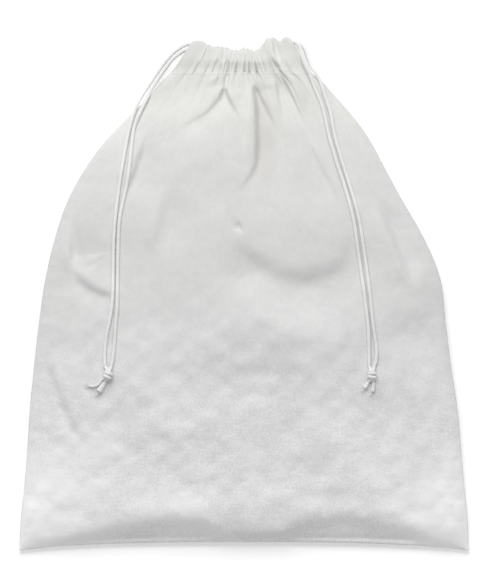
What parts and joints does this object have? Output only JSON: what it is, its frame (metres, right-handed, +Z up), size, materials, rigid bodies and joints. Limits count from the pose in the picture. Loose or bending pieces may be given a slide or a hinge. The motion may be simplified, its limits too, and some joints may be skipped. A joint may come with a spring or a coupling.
{
  "type": "drawstring produce bag",
  "caption": "Flat sewn cotton bag with a gathered mouth, side slits, and two braided drawcords in a casing, each ending in a knotted pair of tails.",
  "frame": {"origin": "on the surface that the bag lies on, under the middle of the bag's outline, without the cords' tails and knots", "axes": "+Z up through the bag's thickness, from its back panel to its front panel; +Y from the bottom seam to the mouth; +X to the right as seen from above"},
  "size_m": [0.307, 0.3529, 0.0339],
  "materials": {
    "cotton_cloth": "plain woven cotton muslin, matt, softly creased",
    "sewing_thread": "spun white sewing thread",
    "cotton_cord": "round braided cotton drawcord, matt"
  },
  "bodies": {
    "root": {"front_panel": "cotton_cloth", "back_panel": "cotton_cloth", "front_casing": "cotton_cloth", "back_casing": "cotton_cloth", "left_seam_allowance": "cotton_cloth", "right_seam_allowance": "cotton_cloth", "bottom_seam_allowance": "cotton_cloth", "left_seam_thread": "sewing_thread", "right_seam_thread": "sewing_thread", "bottom_seam_thread": "sewing_thread", "front_casing_thread": "sewing_thread", "back_casing_thread": "sewing_thread", "left_cord_loop": "cotton_cord", "right_cord_loop": "cotton_cord"},
    "left_mouth": {"left_slit_tack": "sewing_thread", "front_left_slit_hem": "cotton_cloth", "back_left_slit_hem": "cotton_cloth", "left_cord_front_tail": "cotton_cord", "left_cord_back_tail": "cotton_cord"},
    "right_mouth": {"right_slit_tack": "sewing_thread", "front_right_slit_hem": "cotton_cloth", "back_right_slit_hem": "cotton_cloth", "right_cord_front_tail": "cotton_cord", "right_cord_back_tail": "cotton_cord"},
    "left_knot": {"left_cord_knot": "cotton_cord", "left_cord_front_end": "cotton_cord", "left_cord_back_end": "cotton_cord"},
    "right_knot": {"right_cord_knot": "cotton_cord", "right_cord_front_end": "cotton_cord", "right_cord_back_end": "cotton_cord"}
  },
  "joints": [
    {"name": "mouth_opening", "type": "slide", "parent": "root", "child": "left_mouth", "axis": [-1, 0, 0], "range_m": [0, 0.045], "deforming": ["front_panel", "back_panel", "front_casing", "back_casing", "left_seam_allowance", "left_seam_thread", "front_casing_thread", "back_casing_thread", "left_cord_loop", "front_left_slit_hem", "back_left_slit_hem"]},
    {"name": "mouth_opening_right", "type": "slide", "parent": "left_mouth", "child": "right_mouth", "axis": [1, 0, 0], "range_m": [0, 0.09], "deforming": ["right_seam_allowance", "right_seam_thread", "right_cord_loop", "front_right_slit_hem", "back_right_slit_hem"]},
    {"name": "left_cord_feed", "type": "slide", "parent": "left_mouth", "child": "left_knot", "axis": [0.44, 0.898, 0], "range_m": [0, 0.09], "deforming": ["left_cord_front_tail", "left_cord_back_tail"]},
    {"name": "right_cord_feed", "type": "slide", "parent": "right_mouth", "child": "right_knot", "axis": [-0.44, 0.898, 0], "range_m": [0, 0.09], "deforming": ["right_cord_front_tail", "right_cord_back_tail"]}
  ],
  "couplings": [
    {"joint": "mouth_opening_right", "follows": "mouth_opening", "ratio": 2},
    {"joint": "left_cord_feed", "follows": "mouth_opening", "ratio": 2},
    {"joint": "right_cord_feed", "follows": "mouth_opening", "ratio": 2}
  ]
}
